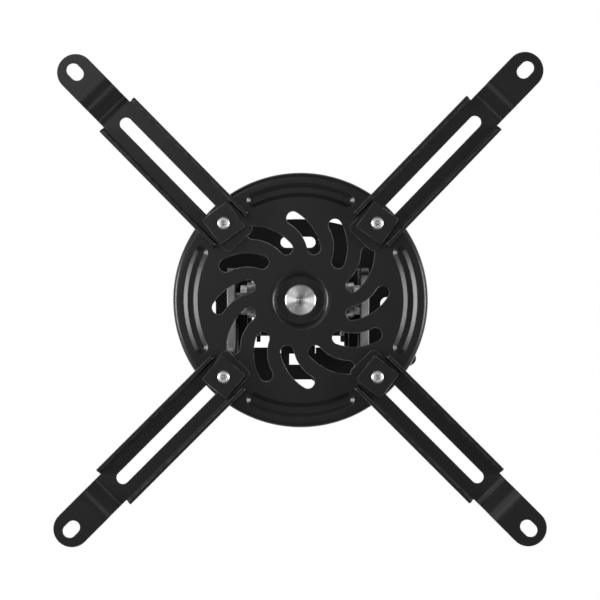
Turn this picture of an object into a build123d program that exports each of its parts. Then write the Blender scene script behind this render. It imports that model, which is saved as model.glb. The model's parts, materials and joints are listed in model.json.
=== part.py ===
import os
from math import atan2, cos, degrees, radians, sin, sqrt, tan

from build123d import *

# A projector ceiling mount, in millimetres. The origin is the middle of the ceiling screw holes, on
# the bracket's top face, +Z is up, and the mount hangs below. A bracket carries a tilting yoke, the
# yoke carries a turning disc, and four channel arms are clamped to the disc by wing screws.

# Fits
running_clearance = 0.05
screw_clearance = 0.1

# How near a face must lie to a level to be picked as lying on it
level_match = 0.01

# Ceiling bracket: a flat plate with bowed long edges, a window and a folded cable tab
bracket_sheet = 3.0
bracket_length = 108.0
bracket_width = 97.6
bracket_bow_radius = 90.0
bracket_corner = 14.0
bracket_bend = 2.0
bracket_offset = 7.0
bracket_shift = 1.25
window_length = 47.5
window_width = 34.9
ceiling_slot_length = 18.0
ceiling_slot_width = 5.6
ceiling_slot_inset = 12.0
side_slot_length = 17.0
side_slot_width = 6.5
side_slot_inset = 8.3
ceiling_hole_diameter = 5.5
ceiling_hole_inset = 13.0
ceiling_hole_spacing = 48.0
cable_tab_width = 17.6
cable_tab_drop = 15.0
cable_tab_set = 1.0
cable_tab_corner = 3.0
cable_tab_relief = 0.3
bend_tail = 1.0
cable_hole_length = 9.0
cable_hole_width = 5.6
cable_hole_set = 23.5

# Ear angles: folded strips welded under the bracket, which carry the tilt bolts
ear_sheet = 4.0
ear_bend = 2.0
ear_foot_length = 10.0
ear_width = 47.0
ear_length = 33.0
ear_corner = 10.0

# Tilt pivot: a headless bolt, a flanged jam nut, a washer and a lock nut on each side
tilt_axis_depth = 21.0
tilt_bolt_diameter = 8.0
tilt_bolt_end_chamfer = 0.7
tilt_nut_flats = 13.0
jam_nut_height = 6.8
jam_flange_diameter = 18.0
jam_flange_thickness = 3.3
tilt_washer_diameter = 18.4
tilt_washer_thickness = 1.8
lock_nut_height = 6.0
lock_collar_diameter = 11.6
lock_collar_height = 2.0
bolt_end_stand = 1.0

# Tilt yoke: a folded channel with round-topped ears
yoke_sheet = 2.0
yoke_width = 44.0
yoke_drop = 27.0
yoke_bend = 2.0
yoke_front = 15.0
yoke_back = 21.0
yoke_floor_back = 17.9
yoke_ear_top_radius = 13.0
yoke_ear_shoulder = 12.0
yoke_ear_lean = 10.0

# Swivel rivet and its washers
rivet_diameter = 8.0
rivet_head_diameter = 15.4
rivet_head_height = 2.2
rivet_head_edge = 0.5
rivet_tail_diameter = 13.0
rivet_tail_flat = 5.0
rivet_tail_height = 2.4
rivet_washer_diameter = 20.0
rivet_washer_thickness = 1.5
thrust_washer_diameter = 23.0
thrust_washer_thickness = 1.5

# Disc: pressed sheet with a sunken boss, four sunken beads, swirl slots and a turned-up rim
disc_diameter = 126.9
disc_sheet = 2.0
disc_bend = 3.0
boss_floor_diameter = 23.8
boss_floor_bend = 0.8
boss_rim_diameter = 27.3
boss_depth = 2.5
rim_height = 3.3
bead_inset = 8.75
bead_width = 7.0
bead_floor_width = 2.8
bead_depth = 1.6
bead_edge = 0.7
bead_span = 58.0
swirl_count = 12
swirl_width = 6.6
swirl_boss_gap = 13.05
swirl_rim_gap = 22.55
swirl_sweep = 19.7
swirl_bow = 1.9
swirl_start = 14.5

# Clamps: a wing screw pulls a square nut plate down on the arm
pivot_inset = 9.55
screw_diameter = 6.0
screw_end_stand = 1.0
screw_end_chamfer = 0.7
screw_head_flats = 10.0
screw_head_height = 4.0
plate_side = 15.6
plate_thickness = 3.0
plate_corner = 0.8
clamp_washer_diameter = 11.6
clamp_washer_thickness = 1.6
wing_hub_diameter = 15.0
wing_span = 44.0
wing_thickness = 7.0
wing_height = 9.6
wing_dip = 2.6
wing_lift = 1.4

# Arms: a slotted channel with a stepped tab at its end
arm_sheet = 2.0
arm_width = 24.3
arm_bend = 3.0
lip_height = 6.0
lip_corner = 2.0
tab_width = 18.3
slot_width = 6.2
nose_reach = 11.0
nose_corner = 3.0
lip_inner_reach = 3.8
slot_inner_reach = 0.4
slot_outer_reach = 73.9
lip_outer_reach = 77.4
step_start = 81.1
step_run = 9.3
step_drop = 8.0
step_inner_bend = 8.1
step_outer_bend = 10.0
tip_hole_reach = 106.0
tip_hole_length = 9.2
tip_hole_width = 6.6
tip_reach = 114.85

# Corner name, its angle on the disc, the arm's direction and how far the arm is drawn in, then the
# twist of the nut plate and the turn of the wing screw from the corner's angle
corners = [
    ("front_left", -135.0, -134.5, 1.7, 8.5, 94.0),
    ("front_right", -45.0, -46.0, 1.1, -9.5, 88.0),
    ("back_right", 45.0, 45.0, 0.6, -7.0, -74.0),
    ("back_left", 135.0, 135.0, 0.0, -6.0, 91.0),
]

# Levels, from the ceiling down
tilt_z = -tilt_axis_depth
yoke_floor_z = tilt_z - yoke_drop
boss_back_z = yoke_floor_z - thrust_washer_thickness
disc_back_z = boss_back_z - boss_depth
disc_face_z = disc_back_z - disc_sheet
boss_face_z = boss_back_z - disc_sheet
web_face_z = disc_face_z - arm_sheet
plate_face_z = web_face_z - plate_thickness
wing_base_z = disc_back_z + clamp_washer_thickness
wing_top_z = wing_base_z + wing_height
wing_pocket_z = wing_top_z - screw_head_height
screw_end_z = plate_face_z - screw_end_stand

# Stations along the tilt axis, from the middle out
yoke_ear_x = yoke_width / 2
jam_nut_x = yoke_ear_x + tilt_washer_thickness
ear_x = jam_nut_x + jam_nut_height
ear_outer_x = ear_x + ear_sheet
ear_foot_x = ear_outer_x - ear_foot_length
lock_nut_x = yoke_ear_x - yoke_sheet
bolt_end_x = lock_nut_x - lock_nut_height - lock_collar_height - bolt_end_stand

# Radii on the disc
pivot_radius = disc_diameter / 2 - pivot_inset
pivot_spacing = sqrt(2) * pivot_radius
bead_radius = disc_diameter / 2 - bead_inset
swirl_inner_radius = boss_rim_diameter / 2 + swirl_boss_gap
swirl_outer_radius = disc_diameter / 2 - swirl_rim_gap

# Side name, its sign along X and the play between its jam nut and ear
sides = [("right", 1, 0.0), ("left", -1, 2 * bracket_shift)]

os.makedirs("parts", exist_ok=True)


def write_piece(piece, name):
    piece.label = name
    export_step(piece, f"parts/{name}.step")


def polar_point(radius, angle):
    return Vector(radius * cos(radians(angle)), radius * sin(radians(angle)))


def faces_at(builder, level):
    return builder.faces().filter_by(lambda face: abs(face.center().Z - level) < level_match)


# Ceiling bracket
bow_height = bracket_bow_radius - sqrt(bracket_bow_radius**2 - (bracket_length / 2) ** 2)
side_y = bracket_width / 2 - bow_height
ceiling_slot_spacing = bracket_width - 2 * ceiling_slot_inset
side_slot_spacing = bracket_length - 2 * side_slot_inset
ceiling_hole_length = bracket_length - 2 * ceiling_hole_inset
cable_tab_y = window_width / 2 + cable_tab_set
tab_fold_y = cable_tab_y + bracket_bend
bracket_low = Plane((-bracket_shift, bracket_offset, -bracket_sheet))
bracket_middle = Plane((-bracket_shift, bracket_offset, 0), x_dir=(0, 1, 0), z_dir=(1, 0, 0))

with BuildPart() as ceiling_bracket:
    with BuildSketch(bracket_low) as bracket_plan:
        with BuildLine():
            ThreePointArc((bracket_length / 2, side_y), (0, bracket_width / 2), (-bracket_length / 2, side_y))
            Line((-bracket_length / 2, side_y), (-bracket_length / 2, 0))
            Line((bracket_length / 2, side_y), (bracket_length / 2, 0))
            mirror(about=Plane.XZ)
        make_face()
        fillet(bracket_plan.vertices(), bracket_corner)
        Rectangle(window_length, window_width, mode=Mode.SUBTRACT)
        with Locations((0, tab_fold_y / 2)):
            Rectangle(cable_tab_width + 2 * cable_tab_relief, tab_fold_y, mode=Mode.SUBTRACT)
    extrude(amount=bracket_sheet)
    with BuildSketch(bracket_middle) as tab_section:
        with BuildLine():
            FilletPolyline(
                (tab_fold_y + bend_tail, -bracket_sheet),
                (cable_tab_y, -bracket_sheet),
                (cable_tab_y, -cable_tab_drop),
                radius=bracket_bend,
            )
            offset(amount=bracket_sheet, side=Side.RIGHT)
        make_face()
    extrude(amount=cable_tab_width / 2, both=True)
    tab_ends = ceiling_bracket.edges().filter_by(Axis.Y).group_by(Axis.Z)[0]
    fillet(tab_ends, cable_tab_corner)
    with BuildSketch(bracket_low) as bracket_cuts:
        with GridLocations(0, ceiling_slot_spacing, 1, 2):
            SlotOverall(ceiling_slot_length, ceiling_slot_width)
        with GridLocations(side_slot_spacing, 0, 2, 1):
            SlotOverall(side_slot_length, side_slot_width, rotation=90)
        with Locations((0, cable_hole_set)):
            Rectangle(cable_hole_length, cable_hole_width)
    extrude(amount=bracket_sheet, mode=Mode.SUBTRACT)
    with BuildSketch(Plane.XY.offset(-bracket_sheet)) as ceiling_holes:
        with GridLocations(ceiling_hole_length, ceiling_hole_spacing, 2, 2):
            Circle(ceiling_hole_diameter / 2)
    extrude(amount=bracket_sheet, mode=Mode.SUBTRACT)
write_piece(ceiling_bracket.part, "ceiling_bracket")

# Ear angle on the right; the left one is its mirror image about the bracket's middle
with BuildPart() as ear_angle:
    with BuildSketch(Plane.XZ.offset(-bracket_offset)) as ear_section:
        with BuildLine():
            FilletPolyline(
                (ear_foot_x, -bracket_sheet),
                (ear_outer_x, -bracket_sheet),
                (ear_outer_x, -ear_length),
                radius=ear_bend + ear_sheet,
            )
            offset(amount=ear_sheet, side=Side.RIGHT)
        make_face()
    extrude(amount=ear_width / 2, both=True)
    ear_bottom = ear_angle.edges().filter_by(Axis.X).group_by(Axis.Z)[0]
    fillet(ear_bottom, ear_corner)
    with BuildSketch(Plane.YZ.offset(ear_x)) as ear_bore:
        with Locations((0, tilt_z)):
            Circle(tilt_bolt_diameter / 2)
    extrude(amount=ear_sheet, mode=Mode.SUBTRACT)
write_piece(ear_angle.part, "ear_angle_right")
write_piece(mirror(ear_angle.part, about=Plane.YZ.offset(-bracket_shift)), "ear_angle_left")

# Tilt pivot hardware
for side_name, side, play in sides:
    with BuildPart() as tilt_bolt:
        with BuildSketch(Plane.YZ.offset(side * bolt_end_x)):
            with Locations((0, tilt_z)):
                Circle(tilt_bolt_diameter / 2)
        extrude(amount=side * (ear_outer_x + play - bolt_end_x))
        inner_end = tilt_bolt.faces().sort_by(Axis.X)[0 if side > 0 else -1]
        chamfer(inner_end.edges(), tilt_bolt_end_chamfer)
    write_piece(tilt_bolt.part, f"tilt_bolt_{side_name}")

    with BuildPart() as jam_nut:
        with BuildSketch(Plane.YZ.offset(side * jam_nut_x)):
            with Locations((0, tilt_z)):
                Circle(jam_flange_diameter / 2)
        extrude(amount=side * jam_flange_thickness)
        with BuildSketch(Plane.YZ.offset(side * jam_nut_x)):
            with Locations((0, tilt_z)):
                RegularPolygon(tilt_nut_flats / 2, 6, major_radius=False)
        extrude(amount=side * jam_nut_height)
        with BuildSketch(Plane.YZ.offset(side * jam_nut_x)):
            with Locations((0, tilt_z)):
                Circle(tilt_bolt_diameter / 2)
        extrude(amount=side * jam_nut_height, mode=Mode.SUBTRACT)
    write_piece(jam_nut.part, f"jam_nut_{side_name}")

    with BuildPart() as tilt_washer:
        with BuildSketch(Plane.YZ.offset(side * yoke_ear_x)):
            with Locations((0, tilt_z)):
                Circle(tilt_washer_diameter / 2)
                Circle(tilt_bolt_diameter / 2, mode=Mode.SUBTRACT)
        extrude(amount=side * tilt_washer_thickness)
    write_piece(tilt_washer.part, f"tilt_washer_{side_name}")

    with BuildPart() as lock_nut:
        with BuildSketch(Plane.YZ.offset(side * lock_nut_x)):
            with Locations((0, tilt_z)):
                RegularPolygon(tilt_nut_flats / 2, 6, major_radius=False)
        extrude(amount=-side * lock_nut_height)
        with BuildSketch(Plane.YZ.offset(side * (lock_nut_x - lock_nut_height))):
            with Locations((0, tilt_z)):
                Circle(lock_collar_diameter / 2)
        extrude(amount=-side * lock_collar_height)
        with BuildSketch(Plane.YZ.offset(side * lock_nut_x)):
            with Locations((0, tilt_z)):
                Circle(tilt_bolt_diameter / 2)
        extrude(amount=-side * (lock_nut_height + lock_collar_height), mode=Mode.SUBTRACT)
    write_piece(lock_nut.part, f"lock_nut_{side_name}")

# Tilt yoke
with BuildPart() as tilt_yoke:
    with BuildSketch(Plane.XZ) as yoke_section:
        with BuildLine():
            FilletPolyline(
                (-yoke_ear_x, tilt_z + yoke_ear_top_radius),
                (-yoke_ear_x, yoke_floor_z),
                (yoke_ear_x, yoke_floor_z),
                (yoke_ear_x, tilt_z + yoke_ear_top_radius),
                radius=yoke_bend + yoke_sheet,
            )
            offset(amount=yoke_sheet, side=Side.LEFT)
        make_face()
    extrude(amount=yoke_back, both=True)
    with BuildSketch(Plane.YZ) as ear_outline:
        with BuildLine():
            shoulder_z = yoke_floor_z + yoke_ear_shoulder
            top_arc = CenterArc((0, tilt_z), yoke_ear_top_radius, yoke_ear_lean, 180 - 2 * yoke_ear_lean)
            Line(top_arc @ 0, (yoke_back, shoulder_z))
            Polyline(
                (yoke_back, shoulder_z),
                (yoke_back, yoke_floor_z),
                (-yoke_front, yoke_floor_z),
                (-yoke_front, shoulder_z),
            )
            Line((-yoke_front, shoulder_z), top_arc @ 1)
        make_face()
    extrude(amount=yoke_width, both=True, mode=Mode.INTERSECT)
    with BuildSketch(Plane.XY.offset(yoke_floor_z)) as floor_cut:
        with Locations((0, (yoke_floor_back + yoke_back) / 2)):
            Rectangle(yoke_width, yoke_back - yoke_floor_back)
    extrude(amount=yoke_sheet + yoke_bend, mode=Mode.SUBTRACT)
    with BuildSketch(Plane.XY.offset(yoke_floor_z)) as yoke_bore:
        Circle(rivet_diameter / 2)
    extrude(amount=yoke_sheet, mode=Mode.SUBTRACT)
    with BuildSketch(Plane.YZ) as pivot_bore:
        with Locations((0, tilt_z)):
            Circle(tilt_bolt_diameter / 2 + running_clearance)
    extrude(amount=yoke_width, both=True, mode=Mode.SUBTRACT)
write_piece(tilt_yoke.part, "tilt_yoke")

# Swivel rivet, its washer and the thrust washer
yoke_floor_top_z = yoke_floor_z + yoke_sheet
rivet_tail_z = yoke_floor_top_z + rivet_washer_thickness

with BuildPart() as center_rivet:
    with BuildSketch(Plane.XZ) as rivet_section:
        with BuildLine():
            head_low_z = boss_face_z - rivet_head_height
            tail_top_z = rivet_tail_z + rivet_tail_height
            Polyline(
                (0, tail_top_z),
                (0, head_low_z),
                (rivet_head_diameter / 2 - rivet_head_edge, head_low_z),
                (rivet_head_diameter / 2, head_low_z + rivet_head_edge),
                (rivet_head_diameter / 2, boss_face_z),
                (rivet_diameter / 2, boss_face_z),
                (rivet_diameter / 2, rivet_tail_z),
                (rivet_tail_diameter / 2, rivet_tail_z),
            )
            tail_center = (rivet_tail_flat / 2, rivet_tail_z)
            tail_round = (rivet_tail_diameter - rivet_tail_flat) / 2
            EllipticalCenterArc(tail_center, tail_round, rivet_tail_height, arc_size=90)
            Line((rivet_tail_flat / 2, tail_top_z), (0, tail_top_z))
        make_face()
    revolve(axis=Axis.Z)
write_piece(center_rivet.part, "center_rivet")

with BuildPart() as rivet_washer:
    with BuildSketch(Plane.XY.offset(yoke_floor_top_z)):
        Circle(rivet_washer_diameter / 2)
        Circle(rivet_diameter / 2, mode=Mode.SUBTRACT)
    extrude(amount=rivet_washer_thickness)
write_piece(rivet_washer.part, "rivet_washer")

with BuildPart() as thrust_washer:
    with BuildSketch(Plane.XY.offset(boss_back_z)):
        Circle(thrust_washer_diameter / 2)
        Circle(rivet_diameter / 2 + running_clearance, mode=Mode.SUBTRACT)
    extrude(amount=thrust_washer_thickness)
write_piece(thrust_washer.part, "thrust_washer")

# Disc
bead_wall_run = (bead_width - bead_floor_width) / 2
bead_wall_slope = degrees(atan2(bead_wall_run, bead_depth))
bead_back_growth = 2 * disc_sheet * tan(radians(90 - bead_wall_slope) / 2)
bead_end_angle = bead_span / 2 - degrees(bead_width / 2 / bead_radius)

swirl_inner = polar_point(swirl_inner_radius, swirl_start)
swirl_outer = polar_point(swirl_outer_radius, swirl_start - swirl_sweep)
swirl_chord = swirl_outer - swirl_inner
swirl_side = Vector(-swirl_chord.Y, swirl_chord.X).normalized()
swirl_middle = (swirl_inner + swirl_outer) * 0.5 + swirl_side * swirl_bow


def is_bead_mouth(edge):
    middle = edge.position_at(0.5)
    off_line = abs(Vector(middle.X, middle.Y).length - bead_radius)
    return abs(middle.Z - disc_face_z) < level_match and off_line < bead_width and not edge.is_closed


with BuildPart() as adapter_disc:
    with BuildSketch(Plane.XZ) as disc_section:
        with BuildLine():
            FilletPolyline(
                (rivet_diameter / 2 + running_clearance, boss_face_z),
                (boss_floor_diameter / 2, boss_face_z),
                (boss_rim_diameter / 2, disc_face_z),
                (disc_diameter / 2, disc_face_z),
                (disc_diameter / 2, disc_face_z + rim_height),
                radius=(boss_floor_bend, disc_bend, disc_bend),
            )
            offset(amount=disc_sheet, side=Side.LEFT)
        make_face()
    revolve(axis=Axis.Z)
    with BuildSketch(Plane.XY.offset(disc_face_z - disc_sheet)) as disc_cuts:
        with BuildLine(mode=Mode.PRIVATE):
            swirl_arc = ThreePointArc(swirl_inner, swirl_middle, swirl_outer)
        with PolarLocations(0, swirl_count):
            SlotArc(swirl_arc, swirl_width)
        with GridLocations(pivot_spacing, pivot_spacing, 2, 2):
            Circle(screw_diameter / 2 + screw_clearance)
    extrude(amount=3 * disc_sheet, mode=Mode.SUBTRACT)
    with BuildLine(mode=Mode.PRIVATE):
        bead_arc = CenterArc((0, 0), bead_radius, -bead_end_angle, 2 * bead_end_angle)
    with BuildSketch(Plane.XY.offset(disc_back_z)) as bead_backs:
        with PolarLocations(0, 4):
            SlotArc(bead_arc, bead_width + bead_back_growth)
    extrude(amount=bead_depth, taper=bead_wall_slope)
    with BuildSketch(Plane.XY.offset(disc_face_z)) as bead_grooves:
        with PolarLocations(0, 4):
            SlotArc(bead_arc, bead_width)
    extrude(amount=bead_depth, taper=bead_wall_slope, mode=Mode.SUBTRACT)
    fillet(faces_at(adapter_disc, disc_face_z + bead_depth).edges(), bead_edge)
    fillet(adapter_disc.edges().filter_by(is_bead_mouth), bead_edge)
write_piece(adapter_disc.part, "adapter_disc")

# Arm, with its clamp's pivot at the origin and its tab along +X
with BuildPart() as arm:
    with BuildSketch(Plane.XZ) as arm_profile:
        with BuildLine():
            FilletPolyline(
                (-nose_reach, disc_face_z),
                (step_start, disc_face_z),
                (step_start + step_run, disc_face_z - step_drop),
                (tip_reach, disc_face_z - step_drop),
                radius=(step_inner_bend, step_outer_bend),
            )
            offset(amount=arm_sheet, side=Side.RIGHT)
        make_face()
    extrude(amount=tab_width / 2, both=True)
    with BuildSketch(Plane.XY.offset(disc_face_z)) as arm_plan:
        with Locations(((tip_reach - nose_reach) / 2, 0)):
            SlotOverall(tip_reach + nose_reach, tab_width)
        RectangleRounded(2 * nose_reach, tab_width, nose_corner)
    extrude(amount=-step_drop - arm_sheet, mode=Mode.INTERSECT)
    with BuildSketch(Plane.YZ.offset(-lip_inner_reach)) as lip_section:
        with BuildLine():
            FilletPolyline(
                (-arm_width / 2, disc_face_z - lip_height),
                (-arm_width / 2, disc_face_z),
                (arm_width / 2, disc_face_z),
                (arm_width / 2, disc_face_z - lip_height),
                radius=arm_bend,
            )
            offset(amount=arm_sheet, side=Side.RIGHT)
        make_face()
    extrude(amount=lip_inner_reach + lip_outer_reach)
    lip_rims = faces_at(arm, disc_face_z - lip_height)
    fillet(lip_rims.edges().filter_by(Axis.Y), lip_corner)
    with BuildSketch(Plane.XY.offset(disc_face_z)) as arm_cuts:
        slot_length = slot_outer_reach + slot_inner_reach + slot_width / 2
        with Locations((slot_outer_reach - slot_length / 2, 0)):
            SlotOverall(slot_length, slot_width)
        with Locations((tip_hole_reach, 0)):
            SlotOverall(tip_hole_length, tip_hole_width)
    extrude(amount=-step_drop - arm_sheet, mode=Mode.SUBTRACT)

# Nut plate of a clamp
with BuildPart() as nut_plate:
    with BuildSketch(Plane.XY.offset(web_face_z)):
        RectangleRounded(plate_side, plate_side, plate_corner)
        Circle(screw_diameter / 2 + running_clearance, mode=Mode.SUBTRACT)
    extrude(amount=-plate_thickness)

# Clamp screw, with its hexagon head in the wing head
with BuildPart() as clamp_screw:
    with BuildSketch(Plane.XY.offset(wing_pocket_z)):
        RegularPolygon(screw_head_flats / 2, 6, major_radius=False)
    extrude(amount=screw_head_height)
    with BuildSketch(Plane.XY.offset(wing_pocket_z)):
        Circle(screw_diameter / 2)
    extrude(amount=screw_end_z - wing_pocket_z)
    chamfer(clamp_screw.faces().sort_by(Axis.Z)[0].edges(), screw_end_chamfer)

with BuildPart() as clamp_washer:
    with BuildSketch(Plane.XY.offset(disc_back_z)):
        Circle(clamp_washer_diameter / 2)
        Circle(screw_diameter / 2 + running_clearance, mode=Mode.SUBTRACT)
    extrude(amount=clamp_washer_thickness)

# Wing head, moulded round the screw's head
with BuildPart() as wing_head:
    with BuildSketch(Plane.XZ) as wing_profile:
        with BuildLine():
            Polyline(
                (0, wing_base_z + wing_lift),
                (wing_span / 2, wing_base_z + wing_lift + wing_dip),
                (wing_span / 2, wing_top_z),
            )
            Spline(
                (wing_span / 2, wing_top_z),
                (wing_hub_diameter / 2, wing_top_z - wing_dip),
                (0, wing_top_z - wing_dip),
                tangents=[(-1, 0), (-1, 0)],
            )
            Line((0, wing_top_z - wing_dip), (0, wing_base_z + wing_lift))
        make_face()
        mirror(about=Plane.YZ)
    extrude(amount=wing_thickness / 2, both=True)
    with BuildSketch(Plane.XY.offset(wing_base_z)) as wing_plan:
        SlotOverall(wing_span, wing_thickness)
    extrude(amount=wing_height, mode=Mode.INTERSECT)
    with BuildSketch(Plane.XY.offset(wing_base_z)) as wing_hub:
        Circle(wing_hub_diameter / 2)
    extrude(amount=wing_height)
    with BuildSketch(Plane.XY.offset(wing_pocket_z)) as wing_pocket:
        RegularPolygon(screw_head_flats / 2 + running_clearance, 6, major_radius=False)
    extrude(amount=screw_head_height, mode=Mode.SUBTRACT)
    with BuildSketch(Plane.XY.offset(wing_base_z)) as wing_bore:
        Circle(screw_diameter / 2 + running_clearance)
    extrude(amount=wing_height, mode=Mode.SUBTRACT)

for corner_name, corner_angle, direction, drawn_in, plate_twist, wing_turn in corners:
    pivot = polar_point(pivot_radius, corner_angle)
    arm_place = Location(pivot - polar_point(drawn_in, direction), (0, 0, direction))
    write_piece(arm.part.moved(arm_place), f"arm_{corner_name}")
    plate_place = Location(pivot, (0, 0, corner_angle + plate_twist))
    write_piece(nut_plate.part.moved(plate_place), f"nut_plate_{corner_name}")
    wing_place = Location(pivot, (0, 0, corner_angle + wing_turn))
    write_piece(clamp_screw.part.moved(wing_place), f"clamp_screw_{corner_name}")
    write_piece(clamp_washer.part.moved(wing_place), f"clamp_washer_{corner_name}")
    write_piece(wing_head.part.moved(wing_place), f"wing_head_{corner_name}")
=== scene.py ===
import json
import math

import bmesh
import bpy
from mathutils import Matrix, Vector

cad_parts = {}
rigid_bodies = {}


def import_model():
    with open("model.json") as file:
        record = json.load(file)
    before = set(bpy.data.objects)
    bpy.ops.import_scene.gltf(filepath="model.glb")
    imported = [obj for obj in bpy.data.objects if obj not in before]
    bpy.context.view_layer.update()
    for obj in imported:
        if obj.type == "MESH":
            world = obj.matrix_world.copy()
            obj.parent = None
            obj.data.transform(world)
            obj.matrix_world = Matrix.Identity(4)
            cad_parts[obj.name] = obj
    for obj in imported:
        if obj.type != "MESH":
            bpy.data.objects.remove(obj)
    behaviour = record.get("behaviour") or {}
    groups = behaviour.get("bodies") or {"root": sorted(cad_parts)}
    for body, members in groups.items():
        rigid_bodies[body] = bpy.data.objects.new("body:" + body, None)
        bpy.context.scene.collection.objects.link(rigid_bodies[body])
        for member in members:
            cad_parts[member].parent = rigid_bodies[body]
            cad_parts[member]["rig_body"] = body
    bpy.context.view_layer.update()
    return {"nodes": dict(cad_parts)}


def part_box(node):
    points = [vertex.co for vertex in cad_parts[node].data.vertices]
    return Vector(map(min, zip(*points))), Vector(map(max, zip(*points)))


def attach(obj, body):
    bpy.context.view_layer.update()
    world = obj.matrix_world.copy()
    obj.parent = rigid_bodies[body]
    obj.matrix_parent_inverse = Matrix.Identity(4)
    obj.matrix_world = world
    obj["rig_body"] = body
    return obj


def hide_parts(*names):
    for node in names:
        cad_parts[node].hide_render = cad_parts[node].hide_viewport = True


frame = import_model()
print("frame loaded:", len(frame["nodes"]), "nodes")

millimetre = 0.001
noiseMiddle = 0.5  # what a noise swings about


# shader maths: operators on a Value add Math nodes
class Value:
    def __init__(self, finish, socket):
        self.finish = finish
        self.socket = socket

    def maths(self, operation, *terms):
        sockets = dict(enumerate(terms))
        return self.finish.node("ShaderNodeMath", {"operation": operation}, sockets)

    def __add__(self, other):
        return self.maths("ADD", self, other)

    def __radd__(self, other):
        return self.maths("ADD", other, self)

    def __sub__(self, other):
        return self.maths("SUBTRACT", self, other)

    def __rsub__(self, other):
        return self.maths("SUBTRACT", other, self)

    def __mul__(self, other):
        return self.maths("MULTIPLY", self, other)

    def __rmul__(self, other):
        return self.maths("MULTIPLY", other, self)

    def __pow__(self, other):
        return self.maths("POWER", self, other)

    def __abs__(self):
        return self.maths("ABSOLUTE", self)

    def output(self, name):  # another output of the same node
        return Value(self.finish, self.socket.node.outputs[name])


class Finish:
    def __init__(self, owner):  # a new material or world
        self.owner = owner
        self.owner.use_nodes = True
        self.tree = self.owner.node_tree
        self.tree.nodes.clear()

    def node(self, kind, settings, sockets):
        made = self.tree.nodes.new(kind)
        for name, value in settings.items():
            setattr(made, name, value)
        for name, value in sockets.items():
            if isinstance(value, Value):
                self.tree.links.new(value.socket, made.inputs[name])
            else:
                made.inputs[name].default_value = value
        return Value(self, made.outputs[0]) if made.outputs else made

    def coordinates(self, name):
        return self.node("ShaderNodeTexCoord", {}, {}).output(name)

    def axes(self, vector):
        split = self.node("ShaderNodeSeparateXYZ", {}, {"Vector": vector})
        return split.output("X"), split.output("Y"), split.output("Z")

    def noise(self, place, scale, detail):
        sockets = {"Vector": place, "Scale": scale, "Detail": detail}
        return self.node("ShaderNodeTexNoise", {}, sockets)

    def smooth(self, value, low, high):  # 0 at low, 1 at high
        settings = {"interpolation_type": "SMOOTHSTEP"}
        sockets = {"Value": value, "From Min": low, "From Max": high}
        return self.node("ShaderNodeMapRange", settings, sockets)

    def blend(self, factor, first, second):  # colours, at these numbers on a Mix node
        sockets = {"Factor": factor, 6: first, 7: second}
        return self.node("ShaderNodeMix", {"data_type": "RGBA"}, sockets).output(2)

    def bump(self, height, strength, distance):
        sockets = {"Height": height, "Strength": strength, "Distance": distance}
        return self.node("ShaderNodeBump", {}, sockets)

    def roundedEdgeWearAndSheen(self):  # 1 on the rounded edges
        return self.node("ShaderNodeAttribute", {"attribute_name": "roundedEdgeWearAndSheen"}, {}).output("Fac")

    def lightPath(self):
        return self.node("ShaderNodeLightPath", {}, {})

    def principled(self, sockets):
        return self.node("ShaderNodeBsdfPrincipled", {}, sockets)

    def surface(self, shader):
        self.node("ShaderNodeOutputMaterial", {}, {"Surface": shader})
        return self.owner


def shaded(color, factor):
    return [factor * part for part in color[:3]] + [1]


def addObject(name, data):
    added = bpy.data.objects.new(name, data)
    bpy.context.scene.collection.objects.link(added)
    return added


# powder coat on pressed steel, left off the sawn ends of the ear angles; its rounded edges are lighter,
# partly thin, worn coat and partly a painted highlight
blackCoatLook = {
    "color": (0.0100, 0.0100, 0.0104, 1),
    # lighter rounded edges: worn coat plus a painted edge highlight
    "edgeWearAndSheen": (0.06, 0.06, 0.061, 1),
    "edgeWearAndSheenPatches": {"scale": 320, "detail": 3},
    "edgeWearAndSheenPatchRange": (0.35, 0.6),
    "roughness": 0.32,
    "roughnessSwing": 0.06,
    "cloud": {"scale": 60, "detail": 2},
    "grain": {"scale": 2600, "detail": 3},
    "grainBump": {"strength": 0.3, "distance": 0.012 * millimetre},
    "specular": 0.45,
}
shadeDarkenedCoatLook = {**blackCoatLook, "color": (0.0035, 0.0035, 0.0037, 1)}  # darker on the ceiling side: painted shade for the hollow behind the disc
bareEndLook = {
    "color": (0.85, 0.85, 0.85, 1),
    "streakShade": 0.6,
    "roughness": 0.5,
    "heightRange": (-20 * millimetre, -18 * millimetre),  # bare below, coated above
    "facingRange": (0.75, 0.97),
}


def blackCoat(name, look, bare=None):
    coat = Finish(bpy.data.materials.new(name))
    place = coat.coordinates("Object")
    grain = coat.noise(place, **look["grain"])
    cloud = coat.noise(place, **look["cloud"])
    # rounded edges lighter in patches: worn coat plus a painted edge highlight
    edgeWearAndSheenMask = coat.roundedEdgeWearAndSheen() * coat.smooth(coat.noise(place, **look["edgeWearAndSheenPatches"]), *look["edgeWearAndSheenPatchRange"])
    swing = (cloud + grain - 2 * noiseMiddle) * look["roughnessSwing"]
    sockets = {
        "Base Color": coat.blend(edgeWearAndSheenMask, look["color"], look["edgeWearAndSheen"]),
        "Roughness": look["roughness"] + swing,
        "Normal": coat.bump(grain, **look["grainBump"]),
        "Specular IOR Level": look["specular"],
    }
    if bare:
        facing = coat.axes(coat.coordinates("Normal"))[2]
        height = coat.axes(place)[2]
        low = 1 - coat.smooth(height, *bare["heightRange"])
        end = coat.smooth(-1 * facing, *bare["facingRange"]) * low
        streak = coat.blend(cloud, bare["color"], shaded(bare["color"], bare["streakShade"]))
        sockets["Base Color"] = coat.blend(end, sockets["Base Color"], streak)
        sockets["Metallic"] = end
        sockets["Roughness"] = sockets["Roughness"] + end * (bare["roughness"] - look["roughness"])
    return coat.surface(coat.principled(sockets))


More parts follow.
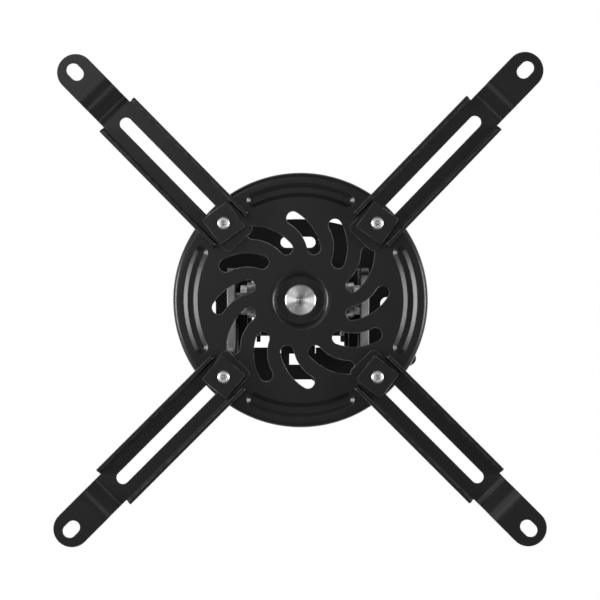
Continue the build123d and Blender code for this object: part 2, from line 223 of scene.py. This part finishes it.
zincLook = {
    "color": (0.75, 0.75, 0.75, 1),
    "dull": (0.20, 0.20, 0.20, 1),
    "cloud": {"scale": 420, "detail": 4},
    "cloudRange": (0.35, 0.7),
    "roughness": 0.42,
    "roughnessSwing": 0.2,
    "speck": {"scale": 1500, "detail": 2},
    "speckBump": {"strength": 0.3, "distance": 0.01 * millimetre},
}


def zincSteel(look):
    zinc = Finish(bpy.data.materials.new("zincSteel"))
    place = zinc.coordinates("Object")
    cloud = zinc.smooth(zinc.noise(place, **look["cloud"]), *look["cloudRange"])
    speck = zinc.noise(place, **look["speck"])
    return zinc.surface(zinc.principled({
        "Base Color": zinc.blend(cloud, look["color"], look["dull"]),
        "Metallic": 1.0,
        "Roughness": look["roughness"] + (speck - noiseMiddle) * look["roughnessSwing"],
        "Normal": zinc.bump(speck, **look["speckBump"]),
    }))


# turned ends, each with a rougher spot in the middle
turnedLook = {
    "turn": 0.25,
    "speck": {"scale": 2200, "detail": 3},
    "speckRange": (0.3, 0.6),
    "speckBump": {"strength": 0.6, "distance": 0.08 * millimetre},
}
rivetHead = {
    **turnedLook,
    "name": "turnedRivet",
    "node": "center_rivet",
    "color": (0.88, 0.88, 0.88, 1),
    "dull": (0.16, 0.16, 0.16, 1),
    "roughness": 0.36,
    "spotRoughness": 0.2,
    "spotRange": (1.2 * millimetre, 3.8 * millimetre),
    "anisotropy": 0.9,
}
screwEnd = {
    **turnedLook,
    "name": "turnedScrew",
    "node": "clamp_screw_back_right",
    "color": (0.95, 0.95, 0.95, 1),
    "dull": (0.14, 0.14, 0.14, 1),
    "roughness": 0.5,
    "spotRoughness": 0.1,
    "spotRange": (1.1 * millimetre, 1.9 * millimetre),
    "anisotropy": 0.4,
}


def turnedSteel(look):
    steel = Finish(bpy.data.materials.new(look["name"]))
    place = steel.coordinates("Object")
    speck = steel.noise(place, **look["speck"])
    x, y, _ = steel.axes(place)
    low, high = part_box(look["node"])
    across = abs(x) - (low.x + high.x) / 2  # the four screws mirror each other
    along = abs(y) - (low.y + high.y) / 2
    radius = (across ** 2 + along ** 2) ** 0.5
    spot = 1 - steel.smooth(radius, *look["spotRange"])
    dulled = spot * steel.smooth(speck, *look["speckRange"])
    return steel.surface(steel.principled({
        "Base Color": steel.blend(dulled, look["color"], look["dull"]),
        "Metallic": 1.0,
        "Roughness": look["roughness"] + spot * look["spotRoughness"],
        "Anisotropic": look["anisotropy"],
        "Anisotropic Rotation": look["turn"],
        "Normal": steel.bump(speck * spot, **look["speckBump"]),
    }))


plasticLook = {
    "color": (0.014, 0.014, 0.015, 1),
    "cloud": {"scale": 90, "detail": 2},
    "cloudRange": (0.3, 0.7),
    "cloudShade": 1.35,
    "roughness": 0.48,
    "roughnessSwing": 0.2,
    "grain": {"scale": 1400, "detail": 3},
    "grainBump": {"strength": 0.4, "distance": 0.03 * millimetre},
}


def blackPlastic(look):
    plastic = Finish(bpy.data.materials.new("blackPlastic"))
    place = plastic.coordinates("Object")
    grain = plastic.noise(place, **look["grain"])
    cloud = plastic.smooth(plastic.noise(place, **look["cloud"]), *look["cloudRange"])
    return plastic.surface(plastic.principled({
        "Base Color": plastic.blend(cloud, look["color"], shaded(look["color"], look["cloudShade"])),
        "Roughness": look["roughness"] + (grain - noiseMiddle) * look["roughnessSwing"],
        "Normal": plastic.bump(grain, **look["grainBump"]),
    }))


nylonLook = {
    "color": (0.72, 0.70, 0.65, 1),
    "cloud": {"scale": 250, "detail": 3},
    "cloudRange": (0.3, 0.7),
    "cloudShade": 0.86,
    "cloudBump": {"strength": 0.2, "distance": 0.05 * millimetre},
    "roughness": 0.45,
    "roughnessSwing": 0.1,
}


def paleNylon(look):
    nylon = Finish(bpy.data.materials.new("paleNylon"))
    cloud = nylon.noise(nylon.coordinates("Object"), **look["cloud"])
    tint = nylon.smooth(cloud, *look["cloudRange"])
    return nylon.surface(nylon.principled({
        "Base Color": nylon.blend(tint, look["color"], shaded(look["color"], look["cloudShade"])),
        "Roughness": look["roughness"] + (cloud - noiseMiddle) * look["roughnessSwing"],
        "Normal": nylon.bump(cloud, **look["cloudBump"]),
    }))


# a copy of a CAD piece: flats merged, its sharp outer edges rounded, and inner corners kept sharp
dressing = {
    "mergeGap": 0.001 * millimetre,
    "flatAngle": math.radians(0.3),
    "sharpAngle": math.radians(28),
    "roundAngle": math.radians(40),
    "edgeSteps": 2,
}


def dressNode(nodeName, material, slotName, edgeRadius, roundBelow=math.inf):
    source = frame["nodes"][nodeName]
    mesh = bpy.data.meshes.new(nodeName + "_dressed")
    shape = bmesh.new()
    shape.from_mesh(source.data)
    # marks the rounded edges that the coat paints lighter: wear plus a painted highlight
    roundedEdgeWearAndSheen = shape.faces.layers.float.new("roundedEdgeWearAndSheen")
    bmesh.ops.remove_doubles(shape, verts=shape.verts, dist=dressing["mergeGap"])
    bmesh.ops.dissolve_limit(shape, angle_limit=dressing["flatAngle"], verts=shape.verts, edges=shape.edges)
    sharp = [edge for edge in shape.edges if edge.calc_face_angle_signed(0) > dressing["roundAngle"]]
    sharp = [edge for edge in sharp if edge.verts[0].co.z < roundBelow]
    rounded = bmesh.ops.bevel(
        shape, geom=sharp, offset=edgeRadius, offset_type="OFFSET", segments=dressing["edgeSteps"],
        profile=0.5, affect="EDGES", clamp_overlap=False, material=-1,
    )
    for face in rounded["faces"]:
        face[roundedEdgeWearAndSheen] = 1
    for face in shape.faces:
        face.smooth = True
        face.material_index = 0
    for edge in shape.edges:
        edge.smooth = abs(edge.calc_face_angle_signed(0)) < dressing["sharpAngle"]
    shape.to_mesh(mesh)
    shape.free()
    mesh.materials.append(material)
    piece = addObject(nodeName + "_dressed", mesh)
    evened = piece.modifiers.new("evened", "WEIGHTED_NORMAL")  # flats stay flat beside their edges
    evened.keep_sharp = True
    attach(piece, source["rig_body"])
    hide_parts(nodeName)


# a darker copy of the same black coat for the parts behind the disc: painted shade
shadeDarkenedCoat = blackCoat("blackCoatShadeDarkened", shadeDarkenedCoatLook)
coated = {
    "material": blackCoat("blackCoat", blackCoatLook),
    "slotName": "black_coat",
    "edgeRadius": 0.4 * millimetre,
}
plated = {"material": zincSteel(zincLook), "slotName": "zinc_steel", "edgeRadius": 0.2 * millimetre}
finishes = {
    # painted shade: the bracket, ear angles and yoke take the darker copy of the coat
    "ceiling_bracket": {**coated, "material": shadeDarkenedCoat, "edgeRadius": 0.15 * millimetre},
    "ear_angle": {**coated, "material": blackCoat("blackCoatShadeDarkenedBareEnds", shadeDarkenedCoatLook, bareEndLook)},
    "tilt_yoke": {**coated, "material": shadeDarkenedCoat, "edgeRadius": 0.35 * millimetre},
    "adapter_disc": {**coated, "roundBelow": -51.9 * millimetre},  # its thin rim stays square
    "arm": {**coated, "edgeRadius": 0.35 * millimetre},
    "nut_plate": coated,
    "tilt_bolt": plated,
    "jam_nut": plated,
    "tilt_washer": plated,
    "lock_nut": plated,
    "rivet_washer": plated,
    "clamp_washer": plated,
    "center_rivet": {
        "material": turnedSteel(rivetHead),
        "slotName": "bright_steel",
        "edgeRadius": 0.07 * millimetre,
    },
    "clamp_screw": {
        "material": turnedSteel(screwEnd),
        "slotName": "bright_steel",
        "edgeRadius": 0.15 * millimetre,
    },
    "wing_head": {
        "material": blackPlastic(plasticLook),
        "slotName": "black_plastic",
        "edgeRadius": 0.4 * millimetre,
    },
    "thrust_washer": {
        "material": paleNylon(nylonLook),
        "slotName": "pale_nylon",
        "edgeRadius": 0.2 * millimetre,
    },
}
for nodeName in frame["nodes"]:
    kind = next(name for name in finishes if nodeName.startswith(name))
    dressNode(nodeName, **finishes[kind])
print("pieces dressed:", len(frame["nodes"]))


# floor far below, behind the camera; the camera sees it paler than it lights the mount
floorLook = {
    "size": 30.0,
    "depth": 2.2,
    "color": (0.78, 0.78, 0.77, 1),
    "cloud": {"scale": 3, "detail": 3},
    "cloudShade": 0.96,
    "roughness": 0.7,
    "seenColor": (1, 1, 1, 1),
    "paleness": 0.9,
}


def paleFloor(look):
    floor = Finish(bpy.data.materials.new("paleFloor"))
    cloud = floor.noise(floor.coordinates("Object"), **look["cloud"])
    lit = floor.principled({
        "Base Color": floor.blend(cloud, look["color"], shaded(look["color"], look["cloudShade"])),
        "Roughness": look["roughness"],
    })
    seen = floor.lightPath().output("Is Camera Ray") * look["paleness"]
    pale = floor.node("ShaderNodeEmission", {}, {"Color": look["seenColor"]})
    return floor.surface(floor.node("ShaderNodeMixShader", {}, {"Fac": seen, 1: lit, 2: pale}))


def addFloor(look):
    mesh = bpy.data.meshes.new("floor")
    shape = bmesh.new()
    bmesh.ops.create_grid(shape, x_segments=1, y_segments=1, size=look["size"] / 2)
    bmesh.ops.translate(shape, verts=shape.verts, vec=(0, 0, -look["depth"]))
    shape.to_mesh(mesh)
    shape.free()
    mesh.materials.append(paleFloor(look))
    addObject("floor", mesh)


addFloor(floorLook)

# white for the camera and glass, and for metal where it mirrors the backdrop above the mount; the
# room round and below it is dim
worldLook = {
    "color": (1, 1, 1, 1),
    "white": 1.0,
    "fill": 0.11,
    "room": 0.06,
    "backdropRange": (0.1, 0.4),
}


def studioWorld(look):
    studio = Finish(bpy.data.worlds.new("studio"))
    path = studio.lightPath()
    upward = studio.axes(studio.coordinates("Generated"))[2]
    backdrop = studio.smooth(upward, *look["backdropRange"])
    mirrored = look["room"] + backdrop * (look["white"] - look["room"])
    seen = path.output("Is Camera Ray") + path.output("Is Transmission Ray")
    strength = look["fill"] + seen * (look["white"] - look["fill"])
    strength = strength + path.output("Is Glossy Ray") * (mirrored - look["fill"])
    sky = studio.node("ShaderNodeBackground", {}, {"Color": look["color"], "Strength": strength})
    studio.node("ShaderNodeOutputWorld", {}, {"Surface": sky})
    bpy.context.scene.world = studio.owner


studioWorld(worldLook)
print("floor and backdrop set")

# strip lights close by on the left and right, small boxes towards the four corners, a soft key over
# the camera's left shoulder and a wide box on the ceiling side
lampAim = Vector((0, 0, -54 * millimetre))  # near the disc
lamps = {
    "leftStrip": {"bearing": 180, "offAxis": 70, "distance": 0.62, "size": (0.34, 0.10), "power": 3.3},
    "rightStrip": {"bearing": 0, "offAxis": 70, "distance": 0.62, "size": (0.34, 0.10), "power": 3.0},
    "keyBox": {"bearing": 222, "offAxis": 22, "distance": 1.5, "size": (0.6, 0.6), "power": 1.9},
    "topBox": {"bearing": 0, "offAxis": 180, "distance": 1.8, "size": (1.6, 1.6), "power": 16},
}
cornerBox = {"offAxis": 46, "distance": 1.0, "size": (0.2, 0.2), "power": 0.35}
for bearing in (45, 135, 225, 315):
    lamps[f"cornerBox{bearing}"] = {**cornerBox, "bearing": bearing}


def addLamp(name, look):
    bearing, offAxis = math.radians(look["bearing"]), math.radians(look["offAxis"])
    reach = math.sin(offAxis)
    away = Vector((math.cos(bearing) * reach, math.sin(bearing) * reach, -math.cos(offAxis)))
    data = bpy.data.lights.new(name, "AREA")
    data.shape = "RECTANGLE"
    data.size, data.size_y = look["size"]
    data.energy = look["power"]
    lamp = addObject(name, data)
    lamp.location = lampAim + away * look["distance"]
    lamp.rotation_euler = away.to_track_quat("Z", "Y").to_euler()


for name, look in lamps.items():
    addLamp(name, look)
print("lamps:", ", ".join(lamps))

# camera below the disc, looking straight up; a pixel's size and the disc's centre are the photo's
view = {
    "distance": 1.35,
    "sensor": 36.0,
    "imageSize": 600,
    "metresPerPixel": 0.000497,
    "discCentre": (300.5, 300.05),
}


def addCamera(look):
    scale = look["metresPerPixel"]
    middle = look["imageSize"] / 2
    centreX, centreY = look["discCentre"]
    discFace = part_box("adapter_disc")[0].z
    data = bpy.data.cameras.new("camera")
    data.sensor_width = look["sensor"]
    data.lens = look["sensor"] * look["distance"] / (look["imageSize"] * scale)
    camera = addObject("camera", data)
    camera.location = ((middle - centreX) * scale, (middle - centreY) * scale, discFace - look["distance"])
    camera.rotation_euler = (math.pi, 0, 0)
    bpy.context.scene.camera = camera


addCamera(view)
bpy.context.scene.view_settings.view_transform = "Standard"
print("camera set")
